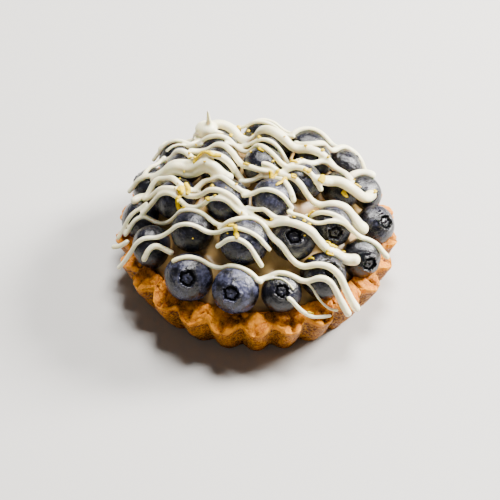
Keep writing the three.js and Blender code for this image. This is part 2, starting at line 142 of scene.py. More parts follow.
# Each strand in millimetres, seen from above: where it starts and ends, how far its middle bows
# towards the back, how far its first quarter swings back and its third quarter forwards, how far it
# ripples back, forth and back, and its width at both ends
STRANDS = [
    # the front
    (-25, -26.5, 1, -33.5, 2.2, 0.3, 0, 1.6, 1.8),
    (0, -33.5, 27.5, -36.5, 3.5, 0, 0.8, 1.8, 2.5),
    (1.5, -33, 11, -36, 1.5, 0, 0, 0.8, 0.8),
    (15.3, -32, 24.5, -35, -1.5, 0, 0, 1, 1.1),
    (9.5, -38.5, 22.5, -37, -0.7, 0, 0, 1.6, 1.1),
    (-42.5, -18.5, 3.5, -25.5, 4, 1, 0, 1.6, 1.5),
    (-11.5, -24.5, 1.2, -29.5, 1.2, 0, 0, 1.7, 1.7),
    (-34.3, -20.6, -26.3, -19.8, 2, 0, 0, 2, 2),
    (-11, -18.5, 5.5, -22.5, 2.6, -1, 0, 1.7, 1.9),
    (4, -21, 30, -34.5, -1, -1.8, 0, 2, 2.9),
    # the left
    (-45, -7.5, -40.5, -8.5, 0, 0, 0, 1.8, 1.8),
    (-43.5, -6, -34.5, -1, 0.6, 0, 0, 1.5, 1.5),
    (-38.5, 2, -35, 5, 0, 0, 0, 2.7, 2.7),
    (-40.5, 11, -31.5, 12, 0.8, 0, 0, 1.8, 1.8),
    (-36.5, 12, -30, 23, 1, 0, 0, 1.5, 1.5),
    (-41, -6.5, -10, -18.5, 4, 1.2, 1, 1.6, 1.6),
    (-35.5, -3.5, -3.5, -16, 2, 1, 1, 1.8, 1.8),
    # across the middle
    (-35, 3, -18.5, -1, 2, 3.5, 0, 2.1, 2.1),
    (-20, -2, -3, -9, 3.2, 2.7, 0, 2, 1.8),
    (-4, -10, 10.5, -12.5, 1.2, 0, 0, 1.7, 1.6),
    (-35, 1.5, 30, -22, -4, 1.5, 0, 1.9, 4),
    (-3, -12.5, 9, -18.5, 1, 0, 0, 1.6, 2.5),
    (-32, 11, -3, 0.5, 3, 0, 0, 2.8, 2),
    (-32, 10.8, -8.5, -0.5, 2.6, 0, 0, 3.4, 3.1),
    (-32, 9.8, -8.8, -1.4, 2.4, 0, 0, 2.8, 2.6),
    (-5, -0.5, 11, -9.5, 5, -1, 0, 1.9, 1.9),
    (2, 2.3, 32, -10, -1.5, 0.8, 1, 1.9, 4.2),
    (-21, 16.5, 19.5, -2.8, -2.5, 0.2, 2.8, 2.1, 1.8),
    # the right
    (9.5, -14, 40, -17, 0.4, -0.8, 0, 1.5, 2.1),
    (15.5, -10.5, 32, -15.5, -0.5, 0, 0, 1.7, 1.7),
    (18.5, -1.7, 36, 5.7, -1.2, 2.1, 0, 3.6, 3.8),
    (10, 2.5, 29.5, 3.5, 7.5, -1.2, 0, 2.1, 2.1),
    (12.5, 19, 35.5, 22, 2, -4.5, 0, 2.1, 2.1),
    (29.5, 13.5, 36.5, 15, 1, 0, 0, 2.7, 3.1),
    # the back
    (-31.5, 23.5, -19.5, 11, 1, 0, 0, 2.1, 2),
    (-33.5, 27, -21, 26, 2, 0, 0, 1.5, 1.5),
    (-29, 25, -17.5, 21.5, 2.5, 0, 0, 1.1, 1.1),
    (-31, 28.5, -20, 33, 3, 0, 0, 2.5, 2.5),
    (-22, 25, 10, 2.5, 3.5, 1, -1.2, 1.8, 1.8),
    (-21.5, 27, -3.5, 26.5, 5, 1, 0, 1.8, 1.8),
    (-10, 19, 9.5, 12.5, 3, 0, 0, 1.6, 1.6),
    (-19, 33.5, 24, 11, 2.2, 3.8, 1.2, 3.4, 2.4),
    (-20, 31, -2, 30.5, 5, 0, 0, 1.8, 1.8),
    (-3, 37, 11, 34.5, 2.5, 0, 0, 1.4, 1.4),
    (-9, 37.5, 12, 31.5, 1.5, 0, 0, 1.5, 1.5),
    (10.5, 32, 26, 29, 5, 0, 0, 1.9, 2),
]

# The drop where the icing starts, and the tail drawn up from it, in millimetres. Its tip is given
# as a share of its foot's radius
DROP_PLACE = (-16.7, 33.5)
DROP_RADII = (3.6, 3, 2.5)
DROP_LIFT = 1.6
TAIL_PLACE = (-15.5, 33.6)
TAIL_RADIUS = 1.3
TAIL_TIP = 0.25
TAIL_HEIGHT = 7.8
TAIL_LEAN = 0.5

# The zest, in millimetres: strips as their width and the places that they pass, flakes as x, y,
# length, width and azimuth, and loose rings as x, y, radius and the azimuth where they start
ZEST_STRIPS = [
    (0.9, [(-20, 7.2), (-18, 8.3), (-16, 7.9), (-13.6, 5.9), (-11, 5.4)]),
    (0.9, [(-21.7, 12.2), (-20.6, 10.8), (-19.4, 9)]),
    (0.8, [(-6.5, 37.5), (-5.4, 35.8), (-4.2, 34.2)]),
    (0.6, [(0.4, 8.8), (1, 7.8), (2, 6.9)]),
    (0.6, [(-4.3, 4.2), (-3.4, 3.1), (-2.4, 2.4)]),
    (0.5, [(9.7, 4.8), (11.3, 4.4), (12.8, 3.7)]),
    (1.5, [(-25, -3.7), (-23.4, -3.3), (-23.7, -5)]),
    (0.9, [(-23.7, -5), (-24.6, -6.3), (-23.7, -8), (-22.2, -11)]),
    (1.1, [(-22.6, -0.7), (-21.3, -2.8), (-21.6, -5)]),
    (0.8, [(-9.9, -19.8), (-8.3, -21), (-6.8, -21.6)]),
    (1, [(-6.8, -21.6), (-6.2, -24), (-5.9, -26)]),
    (1, [(4.1, 0.3), (4.7, -2.2)]),
    (0.7, [(4.9, -1.6), (6, 0), (6.9, 1.3)]),
    (1, [(14.3, 0.3), (15.6, -0.4), (16.8, -0.3)]),
    (0.6, [(5.9, -8), (7.2, -6.2), (8.7, -3.5), (10.2, -4.6)]),
    (1.3, [(26.5, -0.8), (27.6, -1.4), (28.5, -1.6)]),
    (0.6, [(37, 7.2), (37.6, 6.2), (37, 5.2)]),
    (0.5, [(14.2, -11.5), (15.4, -12), (16.6, -11), (17.9, -11)]),
    (0.7, [(28.7, -5.3), (29.7, -5.7)]),
    (0.5, [(21.1, -21.6), (22, -20.4), (22.6, -21.6), (23.4, -20.2), (24, -21.2), (24.6, -20.4)]),
    (0.4, [(15.6, -25), (16.7, -25.5), (17.4, -26.1)]),
    (0.35, [(15.5, -38.5), (16.6, -37.9), (17.4, -36.9)]),
]
ZEST_FLAKES = [
    (-12, 22.7, 1.8, 1.5, 20),
    (-8.4, 24.4, 1.3, 1, 70),
    (-2.8, 33.9, 0.9, 0.7, 0),
    (2.7, 34, 0.9, 0.7, 40),
    (8.1, 21.8, 1, 0.7, 0),
    (0.7, 19, 1.5, 1, 110),
    (-21.4, 13.6, 1, 0.7, 90),
    (-13.7, -6.4, 1.1, 0.9, 90),
    (-14.9, -11.2, 1.5, 1.4, 0),
    (15.3, 14.8, 1, 0.7, 0),
    (20.6, 13, 1.1, 0.9, 30),
    (22.5, 11.6, 1.1, 0.8, 60),
    (19.9, -2.1, 3, 2, 80),
    (4.7, -16.6, 1, 1, 0),
    (14.4, -17.4, 0.9, 1, 0),
    (15.9, -18.2, 1, 0.9, 0),
    (23, -21, 1.4, 1.1, 0),
    (26.4, -20.7, 1.2, 0.6, 0),
]
ZEST_RINGS = [
    (11.5, -2.1, 0.8, 40),
    (31.4, 2.1, 1, 200),
    (22.3, -23.8, 0.9, 100),
]
RING_WIDTH = 0.45
RING_STAND = 0.5

# How much wider the strips and larger the flakes are drawn, and how many crumbs are tried
STRIP_SWELL = 1.4
FLAKE_SWELL = 1.25
CRUMBS_TRIED = 45
CRUMBS_WITHIN = 32


def settled_berries():
    """The berries in metres, pushed apart where they would overlap, each at its height on the dome."""
    berries = []
    for number, (azimuth, distance, diameter, crown_azimuth, crown_elevation, bloom) in enumerate(BERRIES):
        crown = Matrix.Rotation(radians(crown_azimuth), 3, "Z") @ Matrix.Rotation(
            -radians(crown_elevation), 3, "Y"
        )
        berries.append(
            {
                "name": f"berry_{number + 1:02d}",
                "x": distance * MM * cos(radians(azimuth)),
                "y": distance * MM * sin(radians(azimuth)),
                "radius": diameter * MM / 2,
                "crown": crown @ Vector((1, 0, 0)),
                "bloom": bloom,
                "number": number,
            }
        )
    for _ in range(SETTLING_ROUNDS):
        for berry in berries:
            berry["z"] = HEAP_TOP - HEAP_FALL * (berry["x"] ** 2 + berry["y"] ** 2)
        for i, a in enumerate(berries):
            for b in berries[i + 1 :]:
                dx, dy, dz = b["x"] - a["x"], b["y"] - a["y"], b["z"] - a["z"]
                apart = sqrt(dx * dx + dy * dy + dz * dz)
                push = (a["radius"] + b["radius"] + BERRY_GAP + SETTLING_SLACK - apart) / 2
                if push <= 0:
                    continue
                across = hypot(dx, dy)
                a["x"] -= push * dx / across
                a["y"] -= push * dy / across
                b["x"] += push * dx / across
                b["y"] += push * dy / across
    for berry in berries:
        berry["z"] = HEAP_TOP - HEAP_FALL * (berry["x"] ** 2 + berry["y"] ** 2)
        berry["centre"] = Vector((berry["x"], berry["y"], berry["z"]))
    return berries


def cream_height(radius):
    return HEAP_TOP - CREAM_BELOW_CENTRES - HEAP_FALL * radius * radius


def rim_top(radius):
    return RIM_HEIGHT - RIM_FALL * (radius - RIM_RADIUS)


def berry_top(berry, x, y):
    """Height of a berry's skin above a place, or None beside it."""
    dx, dy = x - berry["x"], y - berry["y"]
    if dx * dx + dy * dy > berry["radius"] ** 2:
        return None
    crown = berry["crown"]
    round_ = 1 / berry["radius"] ** 2
    squeeze = round_ / BERRY_FLATNESS**2 - round_
    tilt = dx * crown.x + dy * crown.y
    a = round_ + squeeze * crown.z**2
    b = 2 * squeeze * crown.z * tilt
    c = (dx * dx + dy * dy) * round_ + squeeze * tilt * tilt - 1
    inside = b * b - 4 * a * c
    return None if inside < 0 else berry["z"] + (sqrt(inside) - b) / (2 * a)


def surface_height(berries, x, y):
    """Height of whatever icing would land on."""
    radius = hypot(x, y)
    height = cream_height(radius) if radius < RIM_RADIUS else rim_top(min(radius, LIP_RADIUS))
    for berry in berries:
        top = berry_top(berry, x, y)
        if top is not None and top > height:
            height = top
    return height


# Mesh helpers


def new_piece(name, shape, material):
    """A finished mesh as a piece of the tart, riding on its one body."""
    mesh = bpy.data.meshes.new(name)
    shape.normal_update()
    shape.to_mesh(mesh)
    shape.free()
    mesh.materials.append(material)
    for face in mesh.polygons:
        face.use_smooth = True
    piece = bpy.data.objects.new(name, mesh)
    bpy.context.scene.collection.objects.link(piece)
    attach(piece, "root")
    return piece


def face_outwards(shape):
    """Turns every face outwards. The normals are stale once points have moved, so they come first."""
    shape.normal_update()
    bmesh.ops.recalc_face_normals(shape, faces=shape.faces)


def turned(section, steps):
    """A section of (radius, height) points, from the axis to the axis, spun round the Z axis."""
    shape = bmesh.new()
    points = [shape.verts.new((radius, 0, height)) for radius, height in section]
    edges = [shape.edges.new(pair) for pair in zip(points, points[1:])]
    bmesh.ops.spin(
        shape, geom=points + edges, cent=(0, 0, 0), axis=(0, 0, 1), angle=tau, steps=steps, use_merge=True
    )
    bmesh.ops.remove_doubles(shape, verts=shape.verts, dist=1e-7)
    face_outwards(shape)
    return shape


def smooth_step(low, high, value):
    t = min(1, max(0, (value - low) / (high - low)))
    return t * t * (3 - 2 * t)


def bell(value, width):
    return exp(-((value / width) ** 2))


# The pastry case


def case_section():
    """The case's section from the middle of its underside, round the rim, to the middle of its floor."""
    lip_top = rim_top(LIP_RADIUS)
    section = [(0, 0), (FOOT_RADIUS * 0.5, 0)]
    section += [(FOOT_RADIUS * share, 0) for share in (0.75, 0.88, 0.94)]
    for step in range(5):
        turn = radians(90 * step / 4)
        section.append(
            (FOOT_RADIUS - FOOT_BEVEL * (1 - sin(turn)), FOOT_BEVEL * (1 - cos(turn)))
        )
    wall_steps = 30
    for step in range(1, wall_steps + 1):
        t = step / wall_steps
        radius = FOOT_RADIUS + (LIP_RADIUS - FOOT_RADIUS) * t + 0.5 * MM * sin(pi * t)
        section.append((radius, FOOT_BEVEL + (lip_top - FOOT_BEVEL) * t))
    rim_steps = 22
    for step in range(1, rim_steps + 1):
        t = step / rim_steps
        radius = LIP_RADIUS + (RIM_RADIUS - LIP_RADIUS) * t
        section.append((radius, rim_top(radius)))
    inner_steps = 12
    for step in range(1, inner_steps + 1):
        t = step / inner_steps
        radius = RIM_RADIUS + (FLOOR_RADIUS - RIM_RADIUS) * t
        section.append((radius, RIM_HEIGHT + (FLOOR_THICKNESS - RIM_HEIGHT) * t))
    section += [(FLOOR_RADIUS * 0.6, FLOOR_THICKNESS), (0, FLOOR_THICKNESS)]
    return section


def flute_phase(azimuth):
    """Runs through a full turn from one crest of the flutes to the next."""
    return FLUTES * (azimuth + pi / 2)


def case_shape():
    """The baked case with its flutes and crumbly skin. Its vertices say how toasted and shaded they are,
    the shade being painted shade in the flute valleys, and how near the lip's edge, which is painted
    lighter as a painted highlight."""
    shape = turned(case_section(), FLUTES * STEPS_PER_FLUTE)
    toast_and_shade = shape.verts.layers.float.new("toast_and_shade")
    edge = shape.verts.layers.float.new("edge")
    lip_top = rim_top(LIP_RADIUS)
    for vert in shape.verts:
        x, y, z = vert.co
        radius = hypot(x, y)
        azimuth = atan2(y, x)
        phase = flute_phase(azimuth)
        flute = int(round(phase / tau))
        uneven = noise.noise((flute * 3.7, 1.3, 0.2))
        groove = (1 - cos(phase)) / 2
        outside = radius > FLOOR_RADIUS + 0.1 * MM and z < lip_top + SAME_PLACE
        outside = outside and radius > FLAT_UNDERSIDE
        on_rim = z > lip_top - SAME_PLACE and radius > RIM_RADIUS - 0.1 * MM
        share = smooth_step(FLAT_UNDERSIDE, FOOT_RADIUS, radius) if z < SAME_PLACE else 1
        climb = z / lip_top if z < lip_top else 1
        depth = FOOT_FLUTE_DEPTH + (LIP_FLUTE_DEPTH - FOOT_FLUTE_DEPTH) * climb
        if on_rim:
            depth = LIP_FLUTE_DEPTH * smooth_step(RIM_RADIUS + 0.6 * MM, LIP_RADIUS - 0.4 * MM, radius)
        if not (outside or on_rim):
            depth = 0
        pressed = depth * share * groove**1.15 * (1 + 0.14 * uneven)
        reach = radius - pressed
        turn = azimuth + 0.26 * sin(phase) / FLUTES * (share if outside or on_rim else 0)
        lift = RIM_FALL * pressed * (1 if on_rim else 0)
        vert.co = (reach * cos(turn), reach * sin(turn), z + lift)
        # Painted shade, with some toasting: the flute valleys are marked here to be painted darker.
        vert[toast_and_shade] = groove
        # Painted highlight: nearness to the lip's edge, which is painted lighter where the edge catches
        # the light.
        vert[edge] = bell(radius - LIP_RADIUS, 0.5 * MM) * bell(z - lip_top, 0.6 * MM)
    shape.normal_update()
    roughen_case(shape)
    return shape


def roughen_case(shape):
    """Creases, lumps and grain, moved along the normals of the fluted case. What sinks is painted darker
    as painted shade, and the wall below the lip is painted dark as shade too, with some toasting."""
    lip_top = rim_top(LIP_RADIUS)
    toast_and_shade = shape.verts.layers.float["toast_and_shade"]
    moves = []
    for vert in shape.verts:
        place = vert.co
        radius = hypot(place.x, place.y)
        phase = flute_phase(atan2(place.y, place.x))
        top = smooth_step(lip_top - 1.2 * MM, lip_top + 0.4 * MM, place.z)
        outer = smooth_step(RIM_RADIUS + 1 * MM, RIM_RADIUS + 4 * MM, radius)
        wander = 0.5 * noise.noise(place * 200)
        crease = -CREST_CREASE * bell(((phase + wander) / tau + 0.5) % 1 - 0.5, 0.06) * outer * top
        crease -= GROOVE_CREASE * bell((phase + 2.2 * wander) / tau % 1 - 0.5, 0.05) * top
        lump = LUMP * noise.noise(place * 230) + SMALL_LUMP * noise.noise(place * 520)
        cracks = noise.voronoi(place * 330)[0]
        crack = -CRACK * bell(cracks[1] - cracks[0], 0.09)
        cell = noise.voronoi(place * 720)[0]
        grain = GRAIN * (cell[1] - cell[0] - 0.3) + SAND * noise.noise(place * 1900)
        flat_base = smooth_step(0.05 * MM, 0.9 * MM, place.z)
        move = (lump + crack) * (0.4 + 0.6 * top) + crease + grain
        wall = 1 - smooth_step(lip_top - 1.6 * MM, lip_top - 0.2 * MM, place.z)
        # Painted shade: the wall below the lip is painted dark for the shade it stands in, the grooves
        # darker still and whatever sinks darker again; some of it is toasting.
        browned_and_shaded = (0.78 + 0.3 * vert[toast_and_shade]) * wall + 0.25 * vert[toast_and_shade] * (1 - wall)
        vert[toast_and_shade] = min(1, max(0, browned_and_shaded - 0.8 * (move + 0.1)))
        hidden = 1 if radius > RIM_RADIUS - 2 * MM or place.z < 1 * MM else 0.1
        moves.append(move * MM * flat_base * hidden)
    for vert, move in zip(shape.verts, moves):
        vert.co += vert.normal * move
        vert.co.z = max(0, vert.co.z)


# The cream


def cream_shape(berries):
    """The dome of cream down to the case's floor, drawn up a little where a berry presses into it."""
    margin = 0.3 * MM
    lean = (RIM_RADIUS - FLOOR_RADIUS) / (RIM_HEIGHT - FLOOR_THICKNESS)
    edge = RIM_RADIUS - 0.9 * MM
    bottom = FLOOR_THICKNESS + margin
    section = [(0, bottom), (FLOOR_RADIUS * 0.6, bottom), (FLOOR_RADIUS - 2 * margin, bottom)]
    for share in (0.25, 0.5, 0.75, 0.9):
        height = bottom + (cream_height(edge) - bottom) * share
        section.append((FLOOR_RADIUS + lean * (height - FLOOR_THICKNESS) - 2 * margin, height))
    rings = 70
    section += [(edge * (1 - i / rings), cream_height(edge * (1 - i / rings))) for i in range(rings + 1)]
    shape = turned(section, 220)
    for vert in shape.verts:
        place = vert.co
        radius = hypot(place.x, place.y)
        if place.z < cream_height(radius) - 0.2 * MM or radius > edge - 0.1 * MM:
            continue
        near = min((place - berry["centre"]).length - berry["radius"] for berry in berries)
        swell = 0.35 * MM * noise.noise(place * 130) + 0.16 * MM * noise.noise(place * 420)
        collar = 0.9 * MM * bell(max(near, 0), 1.3 * MM)
        place.z += (swell + collar) * smooth_step(0, 1.5 * MM, edge - radius)
    return shape


# A berry


def crown_relief(reach, azimuth, seed):
    """How far the skin rises or sinks near the crown, in berry radii, and how dark the gap round its
    middle is. reach is the distance from the crown's middle."""
    lobes = 0.6 * cos(5 * azimuth + seed) + 0.4 * cos(10 * azimuth + 2.1 * seed)
    ragged = noise.noise((cos(azimuth) * 4, sin(azimuth) * 4, seed))
    ring = CROWN_RING + 0.03 * lobes + 0.06 * ragged
    collar = (COLLAR_RISE + 0.03 * lobes) * bell(reach - ring - 0.06, 0.055)
    gap = smooth_step(ring + 0.02, ring - 0.02, reach) * smooth_step(ring - 0.13, ring - 0.07, reach)
    hollow = smooth_step(ring + 0.03, ring - 0.05, reach)
    scar = bell(reach, 0.045)
    return collar - HOLLOW_DEPTH * hollow - GAP_DEPTH * gap - SCAR_DEPTH * scar, max(gap, scar)


def berry_shape(berry):
    """A flattened, slightly uneven sphere with a crown, its skin marked with bloom."""
    crown_hidden = berry["crown"].z < -0.4
    segments = 48 if crown_hidden else 90
    rings = 40 if crown_hidden else 84
    seed = berry["number"] * 7.31
    shape = bmesh.new()
    bmesh.ops.create_uvsphere(shape, u_segments=segments, v_segments=rings, radius=1)
    bloom = shape.verts.layers.float.new("bloom")
    pit = shape.verts.layers.float.new("pit")
    facing = Vector((0, 0, 1)).rotation_difference(berry["crown"])
    squash = 1 if crown_hidden else 1.35
    for vert in shape.verts:
        polar = pi * (acos(max(-1, min(1, vert.co.z))) / pi) ** squash
        azimuth = atan2(vert.co.y, vert.co.x)
        flat = Vector((sin(polar) * cos(azimuth), sin(polar) * sin(azimuth), cos(polar)))
        uneven = 0.022 * noise.noise(flat * 1.6 + Vector((seed, 0, 0)))
        uneven += 0.009 * noise.noise(flat * 5 + Vector((0, seed, 0)))
        uneven += 0.005 * noise.noise(flat * 11 + Vector((0, seed, 0)))
        relief, dark = (0, 0) if crown_hidden or flat.z < 0 else crown_relief(sin(polar), azimuth, seed)
        place = flat * (1 + uneven)
        place.z = place.z * BERRY_FLATNESS + relief
        patches = noise.noise(flat * 2.1 + Vector((0, 0, seed)))
        rubbed = noise.noise(Vector((flat.x, flat.y, flat.z * 0.5)) * 6 + Vector((seed, seed, 0)))
        cover = smooth_step(-0.35, 0.4, patches + 0.45 * rubbed + 0.5 * (berry["bloom"] - 0.5))
        vert[bloom] = berry["bloom"] ** 1.6 * cover
        vert[pit] = dark
        vert.co = facing @ (place * berry["radius"]) + berry["centre"]
    face_outwards(shape)
    return shape


# The icing


def strand_line(berries, strand):
    """Points along the middle of a strand, laid on what is under it and rounding the dips, and its
    widths there. The ground a little beyond its ends still shapes it."""
    x0, y0, x1, y1, bow, swing, ripple, start_width, end_width = [value * MM for value in strand]
    length = hypot(x1 - x0, y1 - y0)
    fine = ceil(length / STRAND_STEP)
    beyond = round(STRAND_REACH / length * fine)
    t = np.arange(-beyond, fine + beyond + 1) / fine
    within = np.clip(t, 0, 1)
    turn = tau * within
    aside = bow * 4 * within * (1 - within) + swing * np.sin(turn) + ripple * np.sin(1.5 * turn)
    slant = bow * 4 * (1 - 2 * within) + tau * swing + 1.5 * tau * ripple * np.cos(1.5 * turn)
    xs = x0 + (x1 - x0) * t
    ys = y0 + (y1 - y0) * t + aside + slant * (t - within)
    heights = np.array([surface_height(berries, x, y) for x, y in zip(xs, ys)])
    apart = (xs[:, None] - xs) ** 2 + (ys[:, None] - ys) ** 2
    dip = apart / (2 * STRAND_VALLEY)
    raised = (heights[None, :] - dip).max(axis=1)
    laid = (raised[None, :] + dip).min(axis=1)
    widths = start_width + (end_width - start_width) * t**3
    kept = slice(beyond, beyond + fine + 1)
    return np.stack([xs, ys, laid], axis=1)[kept], widths[kept]


def resampled(line, widths, step):
    """The same line with its points a step apart."""
    lengths = np.concatenate([[0], np.cumsum(np.linalg.norm(np.diff(line, axis=0), axis=1))])
    count = max(4, int(round(lengths[-1] / step)))
    along = np.linspace(0, lengths[-1], count + 1)
    points = np.stack([np.interp(along, lengths, line[:, axis]) for axis in range(3)], axis=1)
    return points, np.interp(along, lengths, widths)


def add_rope(shape, line, widths, seed):
    """A round-ended rope along a line: a sphere whose rings are spread out along it."""
    sides = 14
    cap_rings = 4
    points, sizes = resampled(line, widths, ROPE_STEP)
    stations = len(points)
    rings = stations + 2 * cap_rings
    made = bmesh.ops.create_uvsphere(shape, u_segments=sides, v_segments=rings + 1, radius=1)
    forward = np.gradient(points, axis=0)
    for vert in made["verts"]:
        polar = acos(max(-1, min(1, vert.co.z)))
        ring = polar / pi * (rings + 1) - 1
        turn = atan2(vert.co.y, vert.co.x)
        along = ring - cap_rings
        nearest = min(stations - 1, max(0, along))
        station = int(round(nearest))
        beyond = (along - nearest) / (cap_rings + 1)
        ahead = Vector(forward[station]).normalized()
        side = Vector((ahead.y, -ahead.x, 0)).normalized()
        up = side.cross(ahead)
        width = sizes[station] * (1 + 0.1 * noise.noise((seed, station * 0.17, 0)))
        closing = sqrt(max(0, 1 - beyond * beyond))
        across = cos(turn) * closing * width / 2
        above = sin(turn) * closing * width / 2 * STRAND_FLATNESS
        middle = Vector(points[station]) + up * (STRAND_LIFT * width)
        vert.co = middle + ahead * (beyond * width / 2) + side * across + up * above


def icing_shape(berries):
    """All the strands, fused where they touch."""
    shape = bmesh.new()
    for seed, strand in enumerate(STRANDS):
        line, widths = strand_line(berries, strand)
        add_rope(shape, line, widths, seed * 5.3)
    add_drop(shape, berries)
    face_outwards(shape)
    return fused(shape, ICING_CELL)


def add_drop(shape, berries):
    """The drop where the icing starts, with a tail drawn up from it."""
    x, y = [value * MM for value in DROP_PLACE]
    height = surface_height(berries, x, y) + DROP_LIFT * MM
    size = Matrix.Diagonal([*DROP_RADII, 1]) * MM
    size[3][3] = 1
    bmesh.ops.create_uvsphere(
        shape, u_segments=40, v_segments=24, radius=1, matrix=Matrix.Translation((x, y, height)) @ size
    )
    made = bmesh.ops.create_cone(
        shape, cap_ends=True, segments=20, radius1=1, radius2=TAIL_TIP, depth=1, matrix=Matrix.Identity(4)
    )
    for vert in made["verts"]:
        climb = vert.co.z + 0.5
        lean = TAIL_LEAN * climb
        place = Vector((TAIL_PLACE[0] - lean, TAIL_PLACE[1], 0)) + vert.co.xy.to_3d() * TAIL_RADIUS
        vert.co = place * MM + Vector((0, 0, height + climb * TAIL_HEIGHT * MM))


def fused(shape, cell):
    """The shape's overlapping bodies as one skin."""
    mesh = bpy.data.meshes.new("fusing")
    shape.to_mesh(mesh)
    shape.free()
    scratch = bpy.data.objects.new("fusing", mesh)
    bpy.context.scene.collection.objects.link(scratch)
    remesh = scratch.modifiers.new("fuse", "REMESH")
    remesh.mode = "VOXEL"
    remesh.voxel_size = cell
    evaluated = scratch.evaluated_get(bpy.context.evaluated_depsgraph_get())
    result = bmesh.new()
    result.from_mesh(evaluated.to_mesh())
    evaluated.to_mesh_clear()
    bpy.data.objects.remove(scratch)
    bpy.data.meshes.remove(mesh)
    for _ in range(2):
        bmesh.ops.smooth_vert(
            result, verts=result.verts, factor=0.5, use_axis_x=True, use_axis_y=True, use_axis_z=True
        )
    return result


# Materials


def new_material(name):
    material = bpy.data.materials.new(name)
    material.use_nodes = True
    return material, material.node_tree.nodes, material.node_tree.links


def noise_texture(nodes, links, scale, detail, roughness=0.55, distortion=0.0):
    coordinates = nodes.new("ShaderNodeTexCoord")
    texture = nodes.new("ShaderNodeTexNoise")
    texture.inputs["Scale"].default_value = scale
    texture.inputs["Detail"].default_value = detail
    texture.inputs["Roughness"].default_value = roughness
    texture.inputs["Distortion"].default_value = distortion
    links.new(coordinates.outputs["Object"], texture.inputs["Vector"])
    return texture


def attribute(nodes, name):
    node = nodes.new("ShaderNodeAttribute")
    node.attribute_name = name
    return node.outputs["Fac"]


def ramp(nodes, links, source, stops):
    """A colour ramp of (position, colour or grey) stops."""
    node = nodes.new("ShaderNodeValToRGB")
    elements = node.color_ramp.elements
    while len(elements) < len(stops):
        elements.new(0.5)
    for element, (position, colour) in zip(elements, stops):
        element.position = position
        element.color = (*colour, 1) if isinstance(colour, tuple) else (colour, colour, colour, 1)
    links.new(source, node.inputs["Fac"])
    return node.outputs["Color"]


def mixed(nodes, links, share, low, high):
    """Two colours mixed; each may be a socket or a plain colour."""
    node = nodes.new("ShaderNodeMix")
    node.data_type = "RGBA"
    for index, value in ((6, low), (7, high)):
        if isinstance(value, tuple):
            node.inputs[index].default_value = (*value, 1)
        else:
            links.new(value, node.inputs[index])
    if isinstance(share, float):
        node.inputs[0].default_value = share
    else:
        links.new(share, node.inputs[0])
    return node.outputs[2]


def arithmetic(nodes, links, operation, a, b):
    node = nodes.new("ShaderNodeMath")
    node.operation = operation
    node.use_clamp = operation != "SUBTRACT"
    for index, value in enumerate((a, b)):
        if isinstance(value, (int, float)):
            node.inputs[index].default_value = value
        else:
            links.new(value, node.inputs[index])
    return node.outputs[0]


def bumped(nodes, links, shader, heights):
    """Chains bumps of (height socket, strength, distance) into the shader's normal."""
    normal = None
    for height, strength, distance in heights:
        bump = nodes.new("ShaderNodeBump")
        bump.inputs["Strength"].default_value = strength
        bump.inputs["Distance"].default_value = distance
        links.new(height, bump.inputs["Height"])
        if normal:
            links.new(normal, bump.inputs["Normal"])
        normal = bump.outputs["Normal"]
    links.new(normal, shader.inputs["Normal"])


def pastry_material():
    """Baked shortcrust: golden crests, grooves and wall darkened with painted shade and some toasting, the
    lip's edge lightened as a painted highlight, a grainy skin with a slight butter gloss.
    """
    material, nodes, links = new_material("pastry")
    shader = nodes["Principled BSDF"]
    broad = noise_texture(nodes, links, 190, 4)
    fine = noise_texture(nodes, links, 1500, 5, 0.7)
    grain = noise_texture(nodes, links, 3600, 3)
    # The toast tone varies at random with the broad noise; the vertex attribute below darkens it with
    # painted shade.
    shades = [(0.34, (0.36, 0.076, 0.0)), (0.5, (0.56, 0.152, 0.0)), (0.64, (0.72, 0.235, 0.0))]
    toast_and_shade = ramp(nodes, links, broad.outputs["Fac"], shades)
    # Painted shade: the vertex attribute mixes the toast tone towards near-black in the grooves, the
    # recesses and on the wall.
    grooves = mixed(nodes, links, attribute(nodes, "toast_and_shade"), toast_and_shade, (0.06, 0.009, 0.0))
    specks = ramp(nodes, links, fine.outputs["Fac"], [(0.46, 0.0), (0.58, 0.9)])
    paler = mixed(nodes, links, 0.55, grooves, (0.92, 0.38, 0.004))
    speckled = mixed(nodes, links, specks, grooves, paler)
    # Painted highlight: the lip's edge is painted a lighter orange.
    lip = arithmetic(nodes, links, "MULTIPLY", attribute(nodes, "edge"), 0.7)
    highlighted_lip = mixed(nodes, links, lip, speckled, (0.85, 0.33, 0.0))
    links.new(highlighted_lip, shader.inputs["Base Color"])
    gloss = ramp(nodes, links, fine.outputs["Fac"], [(0.4, 0.5), (0.62, 0.28)])
    links.new(gloss, shader.inputs["Roughness"])
    shader.inputs["Subsurface Weight"].default_value = 0.08
    shader.inputs["Subsurface Radius"].default_value = (1.0, 0.45, 0.15)
    shader.inputs["Subsurface Scale"].default_value = 1 * MM
    shader.inputs["Specular IOR Level"].default_value = 0.2
    bumped(
        nodes,
        links,
        shader,
        [(fine.outputs["Fac"], 0.9, 0.5 * MM), (grain.outputs["Fac"], 0.4, 0.12 * MM)],
    )
    return material


